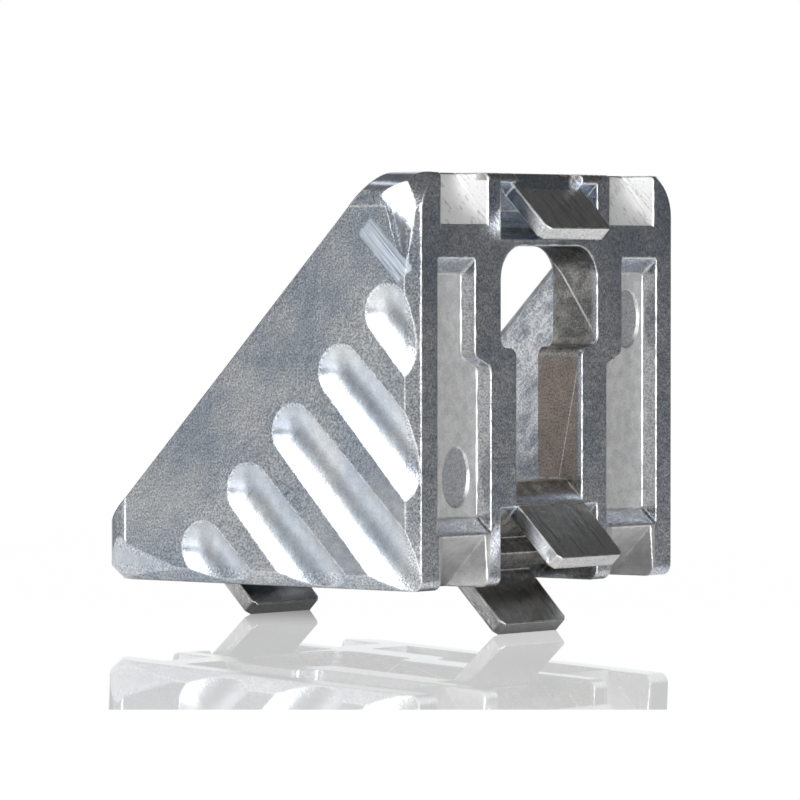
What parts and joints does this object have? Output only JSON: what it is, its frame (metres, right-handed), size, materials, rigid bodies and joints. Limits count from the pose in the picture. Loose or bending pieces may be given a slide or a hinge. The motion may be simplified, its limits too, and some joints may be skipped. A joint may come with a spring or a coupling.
{
  "type": "t slot corner bracket",
  "caption": "Cast corner bracket that joins two slotted aluminium profiles at a right angle, with keyhole slots, locating lugs and fluted side walls.",
  "frame": {"origin": "the corner where the two mounting faces meet, at mid width", "axes": "+X out of mounting face A, -Z out of mounting face B, Y across the width; the body lies at -X and +Z"},
  "size_m": [0.0429, 0.04, 0.0427],
  "materials": {
    "cast_metal": "bare die casting, tumbled"
  },
  "bodies": {
    "root": {"corner_bracket": "cast_metal"}
  },
  "joints": []
}
